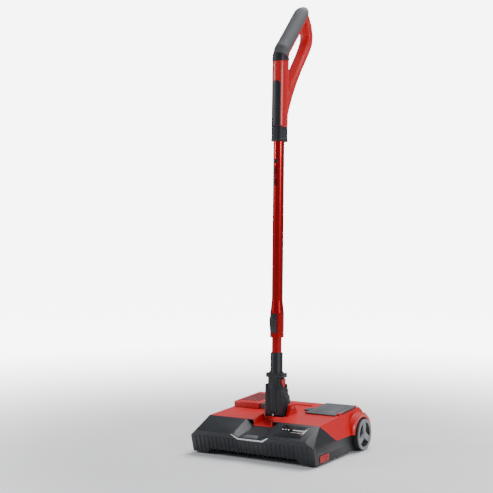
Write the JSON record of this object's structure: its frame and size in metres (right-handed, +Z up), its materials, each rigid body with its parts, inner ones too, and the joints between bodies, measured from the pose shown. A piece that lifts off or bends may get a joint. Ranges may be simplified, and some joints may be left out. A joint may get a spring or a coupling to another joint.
{
  "type": "carpet sweeper",
  "caption": "Cordless carpet sweeper: low ribbed head with a belt-driven brush roller, slide-out dust bin, battery, wheels and a tilting telescopic handle.",
  "frame": {"origin": "on the floor at the middle of the head's footprint, handle parked upright", "axes": "+X to the sweeper's right as pushed from behind, seen from the front it is to the viewer's right; +Y towards the rear where the user stands; +Z up"},
  "size_m": [0.372, 0.3117, 1.1527],
  "materials": {
    "red_shell": "glossy moulded plastic",
    "dark_shell": "fine grained dark plastic",
    "black_shell": "black moulded plastic",
    "grey_plastic": "mid grey moulded plastic",
    "tube_red": "metallic red lacquer on a thin tube",
    "silver_trim": "bright plated lens strip",
    "label_black": "glossy black plate",
    "red_button": "red moulded plastic",
    "wheel_grey": "light grey plastic rim",
    "tyre_rubber": "soft black tyre",
    "bristle": "nylon tufts",
    "belt_rubber": "flat rubber belt",
    "steel": "turned steel",
    "brass": "contact metal",
    "board_green": "circuit board",
    "inner_white": "unpainted inner plastic"
  },
  "bodies": {
    "head": {"front_cover": "dark_shell", "light_lens": "silver_trim", "lamp_cover": "grey_plastic", "light_board": "board_green", "label_plate": "label_black", "top_shell": "red_shell", "base_housing": "black_shell", "roller_bearing_left": "steel", "roller_bearing_right": "steel", "roller_end_cap": "red_button", "inner_deck": "black_shell", "brush_motor": "steel", "drive_belt": "belt_rubber", "belt_cover": "black_shell", "axle_left": "steel", "axle_right": "steel", "front_roller_pins": "steel", "battery_cradle": "inner_white", "battery_contacts": "brass", "latch_guide": "black_shell", "latch_spring": "steel", "storage_tray": "dark_shell", "lid_hinge_pin": "steel", "control_board": "board_green", "tilt_switch": "black_shell", "housing_screws": "steel", "pivot_pin": "steel"},
    "brush_roller": {"roller_core": "black_shell", "bristles": "bristle", "roller_pulley": "inner_white"},
    "motor_rotor": {"motor_shaft": "steel", "motor_pulley": "brass"},
    "left_wheel": {"wheel_rim_left": "wheel_grey", "tyre_left": "tyre_rubber"},
    "right_wheel": {"wheel_rim_right": "wheel_grey", "tyre_right": "tyre_rubber"},
    "left_front_roller": {"front_roller_left": "black_shell"},
    "right_front_roller": {"front_roller_right": "black_shell"},
    "dust_drawer": {"dust_bin": "black_shell"},
    "battery": {"battery_pack": "red_shell"},
    "battery_catch": {"battery_latch": "grey_plastic"},
    "lid": {"tray_lid": "grey_plastic"},
    "lid_catch": {"lid_latch": "grey_plastic"},
    "roller_catch": {"roller_release": "red_button"},
    "handle_yoke": {"yoke": "dark_shell", "yoke_screw": "steel", "tube_socket": "dark_shell"},
    "tube_catch": {"release_button": "red_button"},
    "lower_pole": {"tube_foot": "dark_shell", "lower_tube": "tube_red"},
    "upper_handle": {"upper_tube": "tube_red", "tube_bush": "black_shell", "handle_collar": "dark_shell", "front_inlay": "dark_shell", "grip_pad": "grey_plastic", "handle_left": "red_shell", "handle_right": "red_shell", "handle_screws": "steel"},
    "clamp": {"clamp_button": "dark_shell"}
  },
  "joints": [
    {"name": "roller_spin", "type": "hinge", "parent": "head", "child": "brush_roller", "pos_m": [0, -0.098, 0.026], "axis": [1, 0, 0], "continuous": true},
    {"name": "motor_spin", "type": "hinge", "parent": "head", "child": "motor_rotor", "pos_m": [-0.14, -0.021, 0.075], "axis": [1, 0, 0], "continuous": true},
    {"name": "left_wheel_spin", "type": "hinge", "parent": "head", "child": "left_wheel", "pos_m": [-0.17, 0.101, 0.04], "axis": [1, 0, 0], "continuous": true},
    {"name": "right_wheel_spin", "type": "hinge", "parent": "head", "child": "right_wheel", "pos_m": [0.17, 0.101, 0.04], "axis": [1, 0, 0], "continuous": true},
    {"name": "left_front_roller_spin", "type": "hinge", "parent": "head", "child": "left_front_roller", "pos_m": [-0.155, -0.056, 0.008], "axis": [1, 0, 0], "continuous": true},
    {"name": "right_front_roller_spin", "type": "hinge", "parent": "head", "child": "right_front_roller", "pos_m": [0.155, -0.056, 0.008], "axis": [1, 0, 0], "continuous": true},
    {"name": "bin_slide", "type": "slide", "parent": "head", "child": "dust_drawer", "axis": [0, 1, 0], "range_m": [0, 0.2]},
    {"name": "battery_slide", "type": "slide", "parent": "head", "child": "battery", "axis": [0, 1, 0], "range_m": [0, 0.125]},
    {"name": "battery_catch_press", "type": "slide", "parent": "head", "child": "battery_catch", "axis": [0, 0, -1], "range_m": [0, 0.003], "stiffness_N_per_m": 900, "deforming": ["latch_spring"]},
    {"name": "lid_hinge", "type": "hinge", "parent": "head", "child": "lid", "pos_m": [0.149, 0.07479, 0.10159], "axis": [0, 0.9981, 0.0613], "range_deg": [0, 100]},
    {"name": "lid_catch_slide", "type": "slide", "parent": "head", "child": "lid_catch", "axis": [-1, 0, 0], "range_m": [0, 0.003], "stiffness_N_per_m": 500},
    {"name": "roller_catch_press", "type": "slide", "parent": "head", "child": "roller_catch", "axis": [-1, 0, 0], "range_m": [0, 0.003], "stiffness_N_per_m": 900},
    {"name": "handle_tilt", "type": "hinge", "parent": "head", "child": "handle_yoke", "pos_m": [0, -0.006, 0.108], "axis": [-1, 0, 0], "range_deg": [0, 75]},
    {"name": "tube_catch_press", "type": "slide", "parent": "handle_yoke", "child": "tube_catch", "axis": [-1, 0, 0], "range_m": [0, 0.002], "stiffness_N_per_m": 900},
    {"name": "pole_pull", "type": "slide", "parent": "handle_yoke", "child": "lower_pole", "axis": [0, 0.0279, 0.9996], "range_m": [0, 0.035]},
    {"name": "handle_length", "type": "slide", "parent": "lower_pole", "child": "upper_handle", "axis": [0, 0.0279, 0.9996], "range_m": [-0.035, 0.15]},
    {"name": "clamp_press", "type": "slide", "parent": "upper_handle", "child": "clamp", "axis": [0, 0.9996, -0.0279], "range_m": [0, 0.002], "stiffness_N_per_m": 900}
  ],
  "couplings": [
    {"joint": "motor_spin", "follows": "roller_spin", "ratio": 1.8333}
  ]
}
